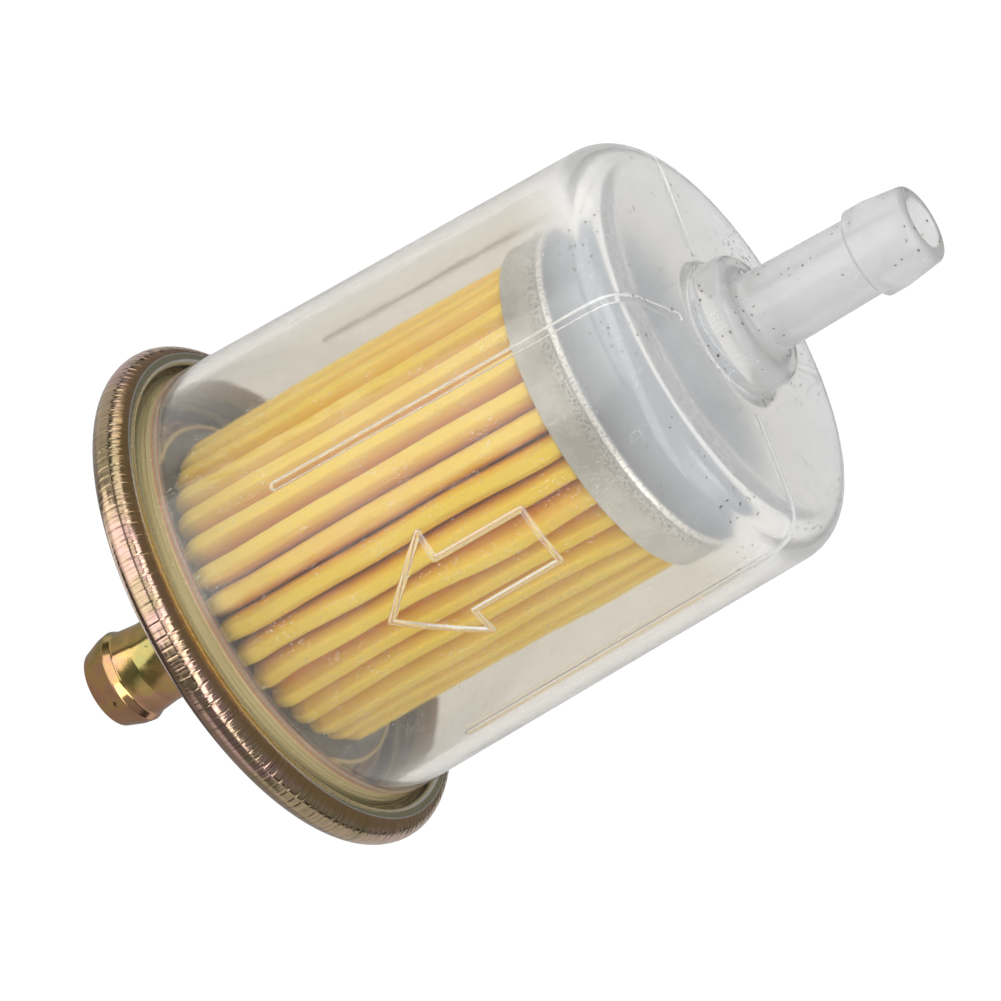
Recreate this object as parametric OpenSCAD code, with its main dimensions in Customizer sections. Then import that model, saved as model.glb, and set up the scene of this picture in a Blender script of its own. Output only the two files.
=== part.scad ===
// Inline fuel filter for a carburettor fuel line.
// A clear moulded bowl carries the inlet barb. Its flange is crimped into a plated steel base
// with a beaded outlet stem. A pleated paper element stands inside between two steel end caps.
// Units are millimetres. The Z axis runs along the filter with the inlet barb at the top.
// The origin is on that axis at the middle of the overall length.
// Heights named *_z are measured up from the underside of the crimped rim.

/* [Bowl] */
// Height from the underside of the crimped rim to the end face of the bowl
body_h = 54.8; // [45:0.1:65]
// Outside diameter of the bowl wall just above the crimp
bowl_base_d = 45.6; // [40:0.1:48]
// Outside diameter of the bowl wall below the rounded corner
bowl_top_d = 42.9; // [38:0.1:46]
// Thickness of the bowl wall
bowl_wall = 1.4; // [1:0.1:2.5]
// Thickness of the bowl end
bowl_end_wall = 1.2; // [1:0.1:2.5]
// Outside radius of the rounded corner
bowl_corner_r = 4.2; // [2:0.1:6]
// Inside radius of the rounded corner
bowl_inner_corner_r = 1.8; // [1:0.1:4]
// Diameter of the flange held in the crimp
flange_d = 50.6; // [48:0.1:52]
// Thickness of the flange
flange_t = 1.85; // [1:0.05:2.5]

/* [Bowl ribs] */
// Number of thin ribs inside the bowl
rib_count = 4; // [0:1:8]
// Width of a rib
rib_w = 0.8; // [0.5:0.1:2]
// Height of a rib above the wall
rib_h = 0.4; // [0.2:0.1:2]
// Height at which the ribs start on the wall
rib_start_z = 16; // [8:0.5:30]
// Radius at which the ribs stop on the bowl end
rib_stop_r = 8.5; // [7:0.5:15]
// Angle of the first rib about the axis, from the arrow
rib_from_arrow = 43; // [0:1:89]

/* [Inlet barb] */
// Length of the nipple above the end face of the bowl
nipple_len = 21.45; // [15:0.05:30]
// Diameter of the round boss at the root of the nipple
boss_d = 13.4; // [11:0.1:16]
// Height of the boss above the end face
boss_h = 3.6; // [1:0.1:6]
// Diameter of the recess inside the boss
recess_d = 10.8; // [8:0.1:12]
// Thickness of the boss top
boss_top_t = 1.2; // [1:0.1:2]
// Outside diameter of the nipple at its root
nipple_root_d = 8.0; // [7:0.05:9]
// Outside diameter of the nipple below the barb
nipple_neck_d = 7.6; // [7:0.05:9]
// Outside diameter of the barb
inlet_barb_d = 8.8; // [8:0.05:10]
// Length of the barb from its shoulder to the tip
inlet_barb_len = 6.35; // [4:0.05:9]
// Length of the cylindrical land on the barb
inlet_land = 1.6; // [1:0.1:4]
// Outside diameter at the tip of the barb
inlet_tip_d = 7.8; // [7:0.05:9]
// Diameter of the fuel passage in the nipple
inlet_bore_d = 5.1; // [4:0.05:6]

/* [Flow arrow] */
// Length of the moulded arrow outline
arrow_len = 17.3; // [10:0.1:25]
// Length of the arrow head
arrow_head_len = 7.7; // [4:0.1:12]
// Width of the arrow head
arrow_head_w = 13.3; // [8:0.1:18]
// Width of the arrow shaft
arrow_shaft_w = 6.9; // [3:0.1:12]
// Width of the raised line
arrow_line_w = 0.5; // [0.3:0.05:1]
// Height of the raised line above the wall
arrow_relief = 0.25; // [0.15:0.05:0.6]
// Height of the arrow tip
arrow_tip_z = 20; // [10:0.5:30]

/* [Crimped base] */
// Outside diameter of the crimped rim
rim_d = 52.6; // [50:0.1:56]
// Height of the crimped rim
rim_h = 4.3; // [3:0.1:6]
// Thickness of the base sheet
sheet_t = 0.6; // [0.4:0.05:1]
// Diameter of the rim opening at the edge of the lip
lip_d = 47.2; // [46:0.1:50]
// Outside diameter of the sunk floor of the base
dish_d = 38.8; // [30:0.1:42]
// Depth of the sunk floor below the rim
dish_depth = 1.8; // [0:0.1:4]
// Length of the drawn neck below the sunk floor
neck_len = 3.2; // [2:0.1:5]

/* [Outlet stem] */
// Length of the stem below the underside of the rim
stem_len = 18.25; // [12:0.05:30]
// Outside diameter of the stem
stem_d = 8.4; // [7:0.05:9]
// Inside diameter of the stem
stem_bore_d = 6.6; // [5:0.05:7]
// Outside diameter of the hose bead
bead_d = 9.5; // [8.5:0.05:11]
// Length of the cylindrical land on the bead
bead_land = 1.0; // [0.6:0.1:3]
// Distance from the tip of the stem to the land
bead_from_tip = 2.25; // [1:0.05:5]
// Outside diameter at the tip of the stem
stem_tip_d = 8.0; // [7:0.05:9]
// Height to which the stem reaches inside the filter
spigot_z = 2.6; // [0:0.1:5]

/* [Filter element] */
// Outside diameter over the pleats
paper_od = 32.4; // [25:0.1:36]
// Inside diameter of the pleats
paper_id = 18.8; // [12:0.1:24]
// Number of pleats
pleats = 34; // [20:1:48]
// Thickness of the paper as pleated
paper_t = 0.35; // [0.2:0.05:0.6]
// Outside diameter of the upper end cap
upper_cap_d = 33.6; // [28:0.1:36]
// Outside diameter of the lower end cap
lower_cap_d = 36.0; // [28:0.1:37]
// Thickness of the end cap sheet
cap_t = 0.4; // [0.3:0.05:0.8]
// Height of the top face of the upper end cap
upper_cap_z = 46.2; // [35:0.1:50]
// Depth of the upper end cap
upper_cap_h = 4.9; // [2:0.1:8]
// Height of the underside of the lower end cap
lower_cap_z = -0.6; // [-1:0.1:3]
// Depth of the lower end cap
lower_cap_h = 3.4; // [2:0.1:8]
// Thickness of the potting in the upper cap
upper_pot_t = 2.8; // [1:0.1:4]
// Thickness of the potting in the lower cap
lower_pot_t = 2.8; // [1:0.1:4]
// Outside diameter of the perforated centre tube
tube_d = 17.6; // [10:0.1:20]
// Thickness of the centre tube
tube_t = 0.5; // [0.3:0.05:1]
// Diameter of the holes in the centre tube
tube_hole_d = 3.2; // [1:0.1:5]
// Rows of holes along the centre tube
tube_hole_rows = 8; // [2:1:12]
// Outside diameter of the rubber grommet in the lower cap
grommet_d = 12.4; // [10:0.1:16]
// Outside diameter of the grommet flange
grommet_flange_d = 16.8; // [14:0.1:20]

/* [Hidden] */
// Facets on every round surface.
$fn = 96;
// Segments in a quarter of a rounded corner.
corner_steps = 8;
// Small overlap that lets cutting shapes pass through a face.
eps = 0.01;
// Depth by which ribs and raised lines are sunk in the wall, so that they are one solid with it.
bury = 0.4;
// Height by which the arrow band runs past both ends of the arrow.
arrow_margin = 1;
// Height of the rim underside above the origin.
rim_z = (stem_len - body_h - nipple_len) / 2;
// Radii of the bowl wall.
bowl_base_r = bowl_base_d / 2;
bowl_top_r = bowl_top_d / 2;
// Height where the straight wall meets the rounded corner.
corner_z = body_h - bowl_corner_r;
// Height of the inner face of the bowl end.
inner_end_z = body_h - bowl_end_wall;
// Height of the gasket and of the flange that rests on it.
gasket_t = 0.6;
flange_z = sheet_t + gasket_t;
flange_top_z = flange_z + flange_t;
// Size of the sloping root between flange and wall.
root_size = 0.5;
// Inside radius of the bowl at the flange, following the taper of the wall.
bowl_mouth_r = bowl_base_r - bowl_wall;
// Inside radius of the bowl below the inner corner.
bowl_inner_top_r = bowl_top_r - bowl_wall;
// Height where the inner wall meets the inner corner.
inner_corner_z = inner_end_z - bowl_inner_corner_r;
// Heights on the nipple.
boss_z = body_h + boss_h;
nipple_top_z = body_h + nipple_len;
barb_z = nipple_top_z - inlet_barb_len;
recess_z = boss_z - boss_top_t;
// Small bevels on the nipple and boss.
boss_draft = 0.2;
boss_bevel = 0.4;
root_flare = 0.5;
root_flare_h = 0.9;
barb_shoulder = 0.5;
barb_round = 0.5;
bore_bevel = 0.25;
// Half angle of the arrow head.
arrow_half_angle = atan(arrow_head_w / 2 / arrow_head_len);
// Inner outline of the arrow, inset by the line width.
arrow_in_tip = arrow_line_w / sin(arrow_half_angle);
arrow_in_head_y = arrow_head_len - arrow_line_w;
arrow_in_head_x = (arrow_in_head_y - arrow_in_tip) * tan(arrow_half_angle);
arrow_in_shaft_x = arrow_shaft_w / 2 - arrow_line_w;
arrow_in_end_y = arrow_len - arrow_line_w;
// Radius of the rolled bead of the rim, and the radius of its centre line.
bead_roll_r = rim_h / 2;
roll_centre_r = rim_d / 2 - bead_roll_r;
// Radii and bevels of the crimp cavity and the lip.
crimp_gap = 0.1;
cavity_r = flange_d / 2 + crimp_gap;
cavity_bulge = 0.2;
cavity_bevel = 0.3;
lip_r = lip_d / 2;
lip_foot_r = lip_r + 0.15;
lip_shoulder_r = lip_r + 0.2;
lip_shoulder_z = rim_h - 0.3;
lip_edge_z = flange_top_z + 0.35;
// Radii of the sunk floor and the drawn neck.
dish_r = dish_d / 2;
dish_slope = 0.8;
dish_inner_r = dish_r + 0.2;
stem_r = stem_d / 2;
neck_r = stem_r + sheet_t;
neck_bevel = 0.6;
// Stem profile.
bead_r = bead_d / 2;
stem_tip_r = stem_tip_d / 2;
stem_bore_r = stem_bore_d / 2;
tip_round = 0.35;
land_low_z = bead_from_tip - stem_len;
land_high_z = land_low_z + bead_land;
shoulder_len = 0.9;
// Paper heights.
paper_low_z = lower_cap_z + cap_t + lower_pot_t;
paper_high_z = upper_cap_z - cap_t - upper_pot_t;
// Pleat profile, as half widths at given radii.
ridge_r = paper_od / 2;
ridge_bevel = 0.3;
ridge_side_r = ridge_r - ridge_bevel;
ridge_half_w = 0.95;
ridge_flat_w = 0.5;
fold_half_w = 0.7;
valley_r = paper_id / 2;
valley_floor_t = 0.4;
valley_out_r = valley_r + valley_floor_t;
inner_ridge_r = ridge_side_r - paper_t / 2;
inner_ridge_w = ridge_half_w - paper_t;
inner_fold_w = fold_half_w - paper_t;
// End cap corner radius.
cap_corner_r = 1.2;
// Centre tube hole pattern.
holes_across = 3;
hole_margin = 4.5;
drill_over = 2;
// Node names in build order.
// Node drawn by itself, or all of them.

// Points of an arc about (cx, cy) from angle a0 to a1.
function arc(cx, cy, r, a0, a1, n) =
    [for (i = [0:n]) [cx + r * cos(a0 + (a1 - a0) * i / n), cy + r * sin(a0 + (a1 - a0) * i / n)]];

// Point at half width w from the line at angle a, on radius r.
function pleat_pt(r, w, a) = [r * cos(a) - w * sin(a), r * sin(a) + w * cos(a)];

// Outline of bowl, boss and nipple to spin about the axis.
module bowl_profile() {
    polygon(concat(
        [
            [bowl_mouth_r, flange_z],
            [flange_d / 2, flange_z],
            [flange_d / 2, flange_top_z],
            [bowl_base_r + root_size, flange_top_z],
            [bowl_base_r, flange_top_z + root_size]
        ],
        arc(bowl_top_r - bowl_corner_r, corner_z, bowl_corner_r, 0, 90, corner_steps),
        [
            [boss_d / 2 + boss_draft, body_h],
            [boss_d / 2, boss_z - boss_bevel],
            [boss_d / 2 - boss_bevel, boss_z],
            [nipple_root_d / 2 + root_flare, boss_z],
            [nipple_root_d / 2, boss_z + root_flare_h],
            [nipple_neck_d / 2, barb_z],
            [inlet_barb_d / 2, barb_z + barb_shoulder],
            [inlet_barb_d / 2, barb_z + barb_shoulder + inlet_land],
            [inlet_tip_d / 2, nipple_top_z - barb_round],
            [inlet_tip_d / 2 - barb_round, nipple_top_z],
            [inlet_bore_d / 2 + bore_bevel, nipple_top_z],
            [inlet_bore_d / 2, nipple_top_z - bore_bevel],
            [inlet_bore_d / 2, recess_z],
            [recess_d / 2, recess_z],
            [recess_d / 2, inner_end_z]
        ],
        arc(bowl_inner_top_r - bowl_inner_corner_r, inner_corner_z, bowl_inner_corner_r,
            90, 0, corner_steps)
    ));
}

// One thin rib that climbs the inner wall and turns onto the bowl end.
module bowl_rib() {
    rotate([90, 0, 0])
        translate([0, 0, -rib_w / 2])
            linear_extrude(height = rib_w)
                polygon([
                    [rib_wall_r(rib_start_z) + bury, rib_start_z],
                    [rib_wall_r(rib_start_z) - rib_h, rib_start_z + rib_h],
                    [bowl_inner_top_r - rib_h, inner_corner_z - rib_h],
                    [bowl_inner_top_r - bowl_inner_corner_r, inner_end_z - rib_h],
                    [rib_stop_r + rib_h, inner_end_z - rib_h],
                    [rib_stop_r, inner_end_z + bury],
                    [bowl_inner_top_r - bowl_inner_corner_r, inner_end_z + bury],
                    [bowl_inner_top_r + bury, inner_corner_z]
                ]);
}

// Radius of the inner wall at height z.
function rib_wall_r(z) =
    bowl_mouth_r + (bowl_inner_top_r - bowl_mouth_r) * (z - flange_z) / (inner_corner_z - flange_z);

// Outline arrow, drawn flat with its tip at the origin and its shaft along +Y.
module arrow_outline() {
    difference() {
        polygon([
            [0, 0],
            [arrow_head_w / 2, arrow_head_len],
            [arrow_shaft_w / 2, arrow_head_len],
            [arrow_shaft_w / 2, arrow_len],
            [-arrow_shaft_w / 2, arrow_len],
            [-arrow_shaft_w / 2, arrow_head_len],
            [-arrow_head_w / 2, arrow_head_len]
        ]);
        polygon([
            [0, arrow_in_tip],
            [arrow_in_head_x, arrow_in_head_y],
            [arrow_in_shaft_x, arrow_in_head_y],
            [arrow_in_shaft_x, arrow_in_end_y],
            [-arrow_in_shaft_x, arrow_in_end_y],
            [-arrow_in_shaft_x, arrow_in_head_y],
            [-arrow_in_head_x, arrow_in_head_y]
        ]);
    }
}

// Radius of the outer wall at height z.
function wall_r(z) =
    bowl_base_r + (bowl_top_r - bowl_base_r) * (z - flange_top_z - root_size)
    / (corner_z - flange_top_z - root_size);

// Raised arrow on the front of the bowl wall, pointing at the base.
module flow_arrow() {
    low_z = arrow_tip_z - arrow_margin;
    high_z = arrow_tip_z + arrow_len + arrow_margin;
    intersection() {
        translate([0, 0, arrow_tip_z])
            rotate([90, 0, 0])
                linear_extrude(height = bowl_base_d)
                    arrow_outline();
        rotate_extrude()
            polygon([
                [wall_r(low_z) - bury, low_z],
                [wall_r(low_z) + arrow_relief, low_z],
                [wall_r(high_z) + arrow_relief, high_z],
                [wall_r(high_z) - bury, high_z]
            ]);
    }
}

// Clear moulded bowl with flange, ribs, flow arrow and inlet barb.
module bowl() {
    color([0.86, 0.88, 0.87, 0.5])
        translate([0, 0, rim_z]) {
            rotate_extrude()
                bowl_profile();
            for (i = [0:rib_count - 1])
                rotate([0, 0, -90 - rib_from_arrow + i * 360 / rib_count])
                    bowl_rib();
            flow_arrow();
        }
}

// Plated steel base with the rim rolled over the flange of the bowl.
module base_pan() {
    color([0.72, 0.63, 0.38])
        translate([0, 0, rim_z])
            rotate_extrude()
                polygon(concat(
                    [
                        [stem_r, -dish_depth - neck_len],
                        [neck_r, -dish_depth - neck_len],
                        [neck_r, -dish_depth - neck_bevel],
                        [neck_r + neck_bevel, -dish_depth],
                        [dish_r - dish_slope, -dish_depth],
                        [dish_r, 0]
                    ],
                    arc(roll_centre_r, bead_roll_r, bead_roll_r, -90, 90, 2 * corner_steps),
                    [
                        [lip_shoulder_r, lip_shoulder_z],
                        [lip_r, lip_edge_z],
                        [lip_foot_r, flange_top_z],
                        [cavity_r, flange_top_z],
                        [cavity_r + cavity_bulge, bead_roll_r],
                        [cavity_r, sheet_t + crimp_gap],
                        [cavity_r - cavity_bevel, sheet_t],
                        [dish_inner_r, sheet_t],
                        [dish_inner_r - dish_slope, sheet_t - dish_depth],
                        [stem_r, sheet_t - dish_depth]
                    ]
                ));
}

// Steel outlet tube with a rolled hose bead.
module outlet_stem() {
    color([0.76, 0.68, 0.42])
        translate([0, 0, rim_z])
            rotate_extrude()
                polygon([
                    [stem_bore_r, -stem_len],
                    [stem_tip_r - tip_round, -stem_len],
                    [stem_tip_r, tip_round - stem_len],
                    [bead_r, land_low_z],
                    [bead_r, land_high_z],
                    [stem_r, land_high_z + shoulder_len],
                    [stem_r, spigot_z],
                    [stem_bore_r, spigot_z]
                ]);
}

// Flat rubber ring between the base and the flange of the bowl.
module bowl_gasket() {
    color([0.12, 0.12, 0.12])
        translate([0, 0, rim_z + sheet_t])
            difference() {
                cylinder(r = cavity_r - cavity_bevel, h = gasket_t);
                translate([0, 0, -eps])
                    cylinder(r = bowl_mouth_r, h = gasket_t + 2 * eps);
            }
}

// Pleated filter paper, folded into an endless star.
module pleated_paper() {
    step = 360 / pleats;
    color([0.90, 0.76, 0.42])
        translate([0, 0, rim_z + paper_low_z])
            linear_extrude(height = paper_high_z - paper_low_z)
                difference() {
                    polygon([for (i = [0:pleats - 1], k = [0:5])
                        k == 0 ? pleat_pt(valley_out_r, -fold_half_w, i * step) :
                        k == 1 ? pleat_pt(ridge_side_r, -ridge_half_w, i * step) :
                        k == 2 ? pleat_pt(ridge_r, -ridge_flat_w, i * step) :
                        k == 3 ? pleat_pt(ridge_r, ridge_flat_w, i * step) :
                        k == 4 ? pleat_pt(ridge_side_r, ridge_half_w, i * step) :
                        pleat_pt(valley_out_r, fold_half_w, i * step)]);
                    polygon([for (i = [0:pleats - 1], k = [0:3])
                        k == 0 ? pleat_pt(valley_r, -inner_fold_w, i * step) :
                        k == 1 ? pleat_pt(inner_ridge_r, -inner_ridge_w, i * step) :
                        k == 2 ? pleat_pt(inner_ridge_r, inner_ridge_w, i * step) :
                        pleat_pt(valley_r, inner_fold_w, i * step)]);
                }
}

// Perforated steel tube that supports the pleats from inside.
module center_tube() {
    tube_h = paper_high_z - paper_low_z;
    row_step = (tube_h - 2 * hole_margin) / (tube_hole_rows - 1);
    hole_step = 180 / holes_across;
    color([0.70, 0.70, 0.72])
        translate([0, 0, rim_z + paper_low_z])
            difference() {
                cylinder(r = tube_d / 2, h = tube_h);
                translate([0, 0, -eps])
                    cylinder(r = tube_d / 2 - tube_t, h = tube_h + 2 * eps);
                for (row = [0:tube_hole_rows - 1], k = [0:holes_across - 1])
                    translate([0, 0, hole_margin + row * row_step])
                        rotate([0, 90, (k + (row % 2) / 2) * hole_step])
                            cylinder(r = tube_hole_d / 2, h = tube_d + drill_over, center = true);
            }
}

// Closed steel cap over the top of the pleats.
module upper_end_cap() {
    r = upper_cap_d / 2;
    color([0.74, 0.76, 0.78])
        translate([0, 0, rim_z])
            rotate_extrude()
                polygon(concat(
                    [
                        [0, upper_cap_z],
                        [0, upper_cap_z - cap_t]
                    ],
                    arc(r - cap_corner_r, upper_cap_z - cap_corner_r, cap_corner_r - cap_t,
                        90, 0, corner_steps),
                    [
                        [r - cap_t, upper_cap_z - upper_cap_h],
                        [r, upper_cap_z - upper_cap_h]
                    ],
                    arc(r - cap_corner_r, upper_cap_z - cap_corner_r, cap_corner_r,
                        0, 90, corner_steps)
                ));
}

// Steel cap under the pleats, with a hole for the outlet.
module lower_end_cap() {
    r = lower_cap_d / 2;
    hole_r = grommet_d / 2;
    color([0.70, 0.72, 0.74])
        translate([0, 0, rim_z])
            rotate_extrude()
                polygon(concat(
                    [
                        [hole_r, lower_cap_z + cap_t],
                        [hole_r, lower_cap_z]
                    ],
                    arc(r - cap_corner_r, lower_cap_z + cap_corner_r, cap_corner_r,
                        -90, 0, corner_steps),
                    [
                        [r, lower_cap_z + lower_cap_h],
                        [r - cap_t, lower_cap_z + lower_cap_h]
                    ],
                    arc(r - cap_corner_r, lower_cap_z + cap_corner_r, cap_corner_r - cap_t,
                        0, -90, corner_steps)
                ));
}

// Disc of potting that seals the pleats into the upper cap.
module upper_potting() {
    r = upper_cap_d / 2;
    color([0.62, 0.60, 0.55])
        translate([0, 0, rim_z])
            rotate_extrude()
                polygon(concat(
                    [
                        [0, upper_cap_z - cap_t],
                        [0, paper_high_z],
                        [r - cap_t, paper_high_z]
                    ],
                    arc(r - cap_corner_r, upper_cap_z - cap_corner_r, cap_corner_r - cap_t,
                        0, 90, corner_steps)
                ));
}

// Ring of potting that seals the pleats into the lower cap.
module lower_potting() {
    r = lower_cap_d / 2;
    color([0.62, 0.60, 0.55])
        translate([0, 0, rim_z])
            rotate_extrude()
                polygon(concat(
                    [
                        [grommet_d / 2, paper_low_z],
                        [grommet_d / 2, lower_cap_z + cap_t]
                    ],
                    arc(r - cap_corner_r, lower_cap_z + cap_corner_r, cap_corner_r - cap_t,
                        -90, 0, corner_steps),
                    [
                        [r - cap_t, paper_low_z]
                    ]
                ));
}

// Rubber grommet that seals the lower cap to the outlet stem.
module outlet_grommet() {
    low_z = sheet_t - dish_depth;
    color([0.10, 0.10, 0.10])
        translate([0, 0, rim_z])
            rotate_extrude()
                polygon([
                    [stem_r, low_z],
                    [grommet_flange_d / 2, low_z],
                    [grommet_flange_d / 2, lower_cap_z],
                    [grommet_d / 2, lower_cap_z],
                    [grommet_d / 2, paper_low_z],
                    [stem_r, paper_low_z]
                ]);
}

bowl();
base_pan();
outlet_stem();
bowl_gasket();
pleated_paper();
center_tube();
upper_end_cap();
lower_end_cap();
upper_potting();
lower_potting();
outlet_grommet();
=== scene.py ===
import math

import bpy
import numpy as np
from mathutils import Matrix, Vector


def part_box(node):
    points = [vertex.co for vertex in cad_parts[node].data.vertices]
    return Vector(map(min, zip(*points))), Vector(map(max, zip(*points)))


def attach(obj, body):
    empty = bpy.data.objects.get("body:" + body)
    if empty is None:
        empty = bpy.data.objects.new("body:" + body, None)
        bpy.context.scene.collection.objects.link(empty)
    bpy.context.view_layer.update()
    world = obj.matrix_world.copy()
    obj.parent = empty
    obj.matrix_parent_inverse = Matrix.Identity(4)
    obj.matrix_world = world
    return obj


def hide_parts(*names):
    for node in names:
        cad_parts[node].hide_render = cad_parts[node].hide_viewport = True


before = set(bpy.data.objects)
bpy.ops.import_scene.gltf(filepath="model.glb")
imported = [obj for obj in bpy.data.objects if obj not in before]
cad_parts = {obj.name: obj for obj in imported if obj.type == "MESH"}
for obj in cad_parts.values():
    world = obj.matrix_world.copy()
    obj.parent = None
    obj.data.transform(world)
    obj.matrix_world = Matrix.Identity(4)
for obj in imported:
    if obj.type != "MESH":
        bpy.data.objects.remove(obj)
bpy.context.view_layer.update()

MM = 0.001
UP = Vector((0, 0, 1))
FULL_TURN = 2 * math.pi

# ---------------------------------------------------------------- sizes

# All in millimetres. Heights are above the underside of the crimped rim, which is at RIM_Z in the frame.
STEM_LENGTH = 18.25
STEM_R = 4.2
STEM_BORE_R = 3.3
STEM_INNER_TOP = 2.6
RIM_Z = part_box("outlet_stem")[0].z / MM + STEM_LENGTH
RIM_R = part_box("base_pan")[1].x / MM

BODY_H = 54.8
FLANGE_LOW = 1.2
FLANGE_TOP = 3.05
FLANGE_R = 25.3
BOWL_BASE_R = 22.8
BOWL_TOP_R = 21.45
BOWL_WALL = 1.4
CORNER_R = 4.2
INNER_CORNER_R = 1.8
END_Z = 53.6
BOSS_R = 6.7
BOSS_TOP = 58.4
RECESS_R = 5.4
RECESS_TOP = 57.2
NIPPLE_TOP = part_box("bowl")[1].z / MM - RIM_Z
NIPPLE_ROOT_R = 4.05
NIPPLE_NECK_R = 3.8
NIPPLE_BORE_R = 2.55
BARB_R = 4.4
BARB_TIP_R = 3.85
BARB_Z = NIPPLE_TOP - 6.35

RIB_ANGLES = [math.radians(-90 - 43 + 90 * k) for k in range(4)]
RIB_W = 0.8
RIB_H = 0.4
RIB_START = 16.0
RIB_STOP = 8.5
ARROW_ANGLE = math.radians(-90)
ARROW_TIP = 20.0
ARROW_LEN = 17.3
ARROW_HEAD = 7.7
ARROW_HEAD_W = 13.3
ARROW_SHAFT_W = 6.9
ARROW_LINE = 0.5
ARROW_RELIEF = 0.17

RIM_H = 4.3
ROLL_R = RIM_H / 2
ROLL_C = RIM_R - ROLL_R
SHEET = 0.6
CRIMPS = 148
DISH_R = 19.4
DISH_DEPTH = 1.8
NECK_LENGTH = 3.2

PLEATS = 34
PAPER_T = 0.35
PAPER_R = 16.2
PAPER_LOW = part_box("pleated_paper")[0].z / MM - RIM_Z
PAPER_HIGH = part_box("pleated_paper")[1].z / MM - RIM_Z
CAP_SHEET = 0.4
LOWER_CAP_HOLE_R = 6.2

# ---------------------------------------------------------------- camera

# Angles in degrees, distances in metres, lens and sensor in millimetres
VIEW_AZIMUTH = -19.8
VIEW_ELEVATION = 22.34
VIEW_ROLL = 60.26
VIEW_DISTANCE = 0.55986
AIM_RIGHT = -0.000224
AIM_UP = -0.003494
LENS = 215.8
SENSOR = 36.0


def add_camera():
    a, e, roll = (math.radians(x) for x in (VIEW_AZIMUTH, VIEW_ELEVATION, VIEW_ROLL))
    back = Vector((math.sin(a) * math.cos(e), -math.cos(a) * math.cos(e), math.sin(e)))
    level_right = (-back).cross(UP).normalized()
    level_up = back.cross(level_right)
    up = level_up * math.cos(roll) - level_right * math.sin(roll)
    right = up.cross(back)
    data = bpy.data.cameras.new("camera")
    data.lens = LENS
    data.sensor_width = SENSOR
    data.clip_start = 0.05
    data.clip_end = 20
    cam = bpy.data.objects.new("camera", data)
    bpy.context.scene.collection.objects.link(cam)
    m = cam.matrix_world.to_3x3()
    for i, axis in enumerate((right, up, back)):
        m.col[i] = axis
    cam.matrix_world = m.to_4x4()
    cam.location = back * VIEW_DISTANCE + right * AIM_RIGHT + up * AIM_UP
    bpy.context.scene.camera = cam


add_camera()

# ---------------------------------------------------------------- mesh tools


def rounded(points, step=10.0):
    """Chain of (r, z) from corner points (r, z, fillet), with a point every step degrees of fillet."""
    out = []
    for i, (r, z, fillet) in enumerate(points):
        if fillet <= 0 or i in (0, len(points) - 1):
            out.append((r, z))
            continue
        p = Vector((r, z))
        a = Vector(points[i - 1][:2]) - p
        b = Vector(points[i + 1][:2]) - p
        half = a.angle(b) / 2
        cut = min(fillet / math.tan(half), 0.49 * a.length, 0.49 * b.length)
        radius = cut * math.tan(half)
        a.normalize()
        b.normalize()
        centre = p + (a + b).normalized() * (radius / math.sin(half))
        va, vb = p + a * cut - centre, p + b * cut - centre
        start = math.atan2(va.y, va.x)
        turn = (math.atan2(vb.y, vb.x) - start + math.pi) % FULL_TURN - math.pi
        n = max(2, math.ceil(abs(math.degrees(turn)) / step))
        for k in range(n + 1):
            angle = start + turn * k / n
            out.append((centre.x + radius * math.cos(angle), centre.y + radius * math.sin(angle)))
    return np.array(out)


def refined(chain, longest):
    """The chain with its long segments split until none is longer than longest(r, z)."""
    for step in (lambda r, z: max(1.0, longest(r, z)), longest):
        out = [chain[0]]
        for p, q in zip(chain[:-1], chain[1:]):
            n = max(1, math.ceil(np.hypot(*(q - p)) / step(*((p + q) / 2))))
            out += [p + (q - p) * (k + 1) / n for k in range(n)]
        chain = np.array(out)
    return chain


def refined_ring(chain, longest):
    """refined for a closed chain, whose last point joins its first."""
    return refined(np.vstack([chain, chain[:1]]), longest)[:-1]


def normals_of(chain, closed):
    """Unit normals (dz, -dr) of a chain, out of the material when it is walked up the outside."""
    if closed:
        t = np.roll(chain, -1, 0) - np.roll(chain, 1, 0)
    else:
        t = np.gradient(chain, axis=0)
    n = np.stack([t[:, 1], -t[:, 0]], 1)
    return n / np.maximum(np.linalg.norm(n, axis=1), 1e-9)[:, None]


def add_mesh(name, verts, faces, material):
    """A smooth-shaded mesh object that rides on the one body."""
    mesh = bpy.data.meshes.new(name)
    mesh.from_pydata(verts.tolist(), [], faces.tolist())
    mesh.polygons.foreach_set("use_smooth", [True] * len(mesh.polygons))
    mesh.materials.append(material)
    mesh.update()
    obj = bpy.data.objects.new(name, mesh)
    bpy.context.scene.collection.objects.link(obj)
    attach(obj, "root")
    return obj


def grid_faces(n_a, n_b, wrap_a, wrap_b):
    """Quads over a grid of n_a by n_b points, joined end to end in each direction that wraps."""
    rows = np.arange(n_a if wrap_a else n_a - 1)
    columns = np.arange(n_b if wrap_b else n_b - 1)
    i, j = (grid.ravel() for grid in np.meshgrid(rows, columns, indexing="ij"))
    i2, j2 = (i + 1) % n_a, (j + 1) % n_b
    return np.stack([i * n_b + j, i2 * n_b + j, i2 * n_b + j2, i * n_b + j2], 1)


def around(r, a, z):
    """Vertices in the shared frame from arrays of radius, angle and height in this script's units."""
    return np.stack([r * np.cos(a), r * np.sin(a), z + RIM_Z], 2).reshape(-1, 3) * MM


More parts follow.
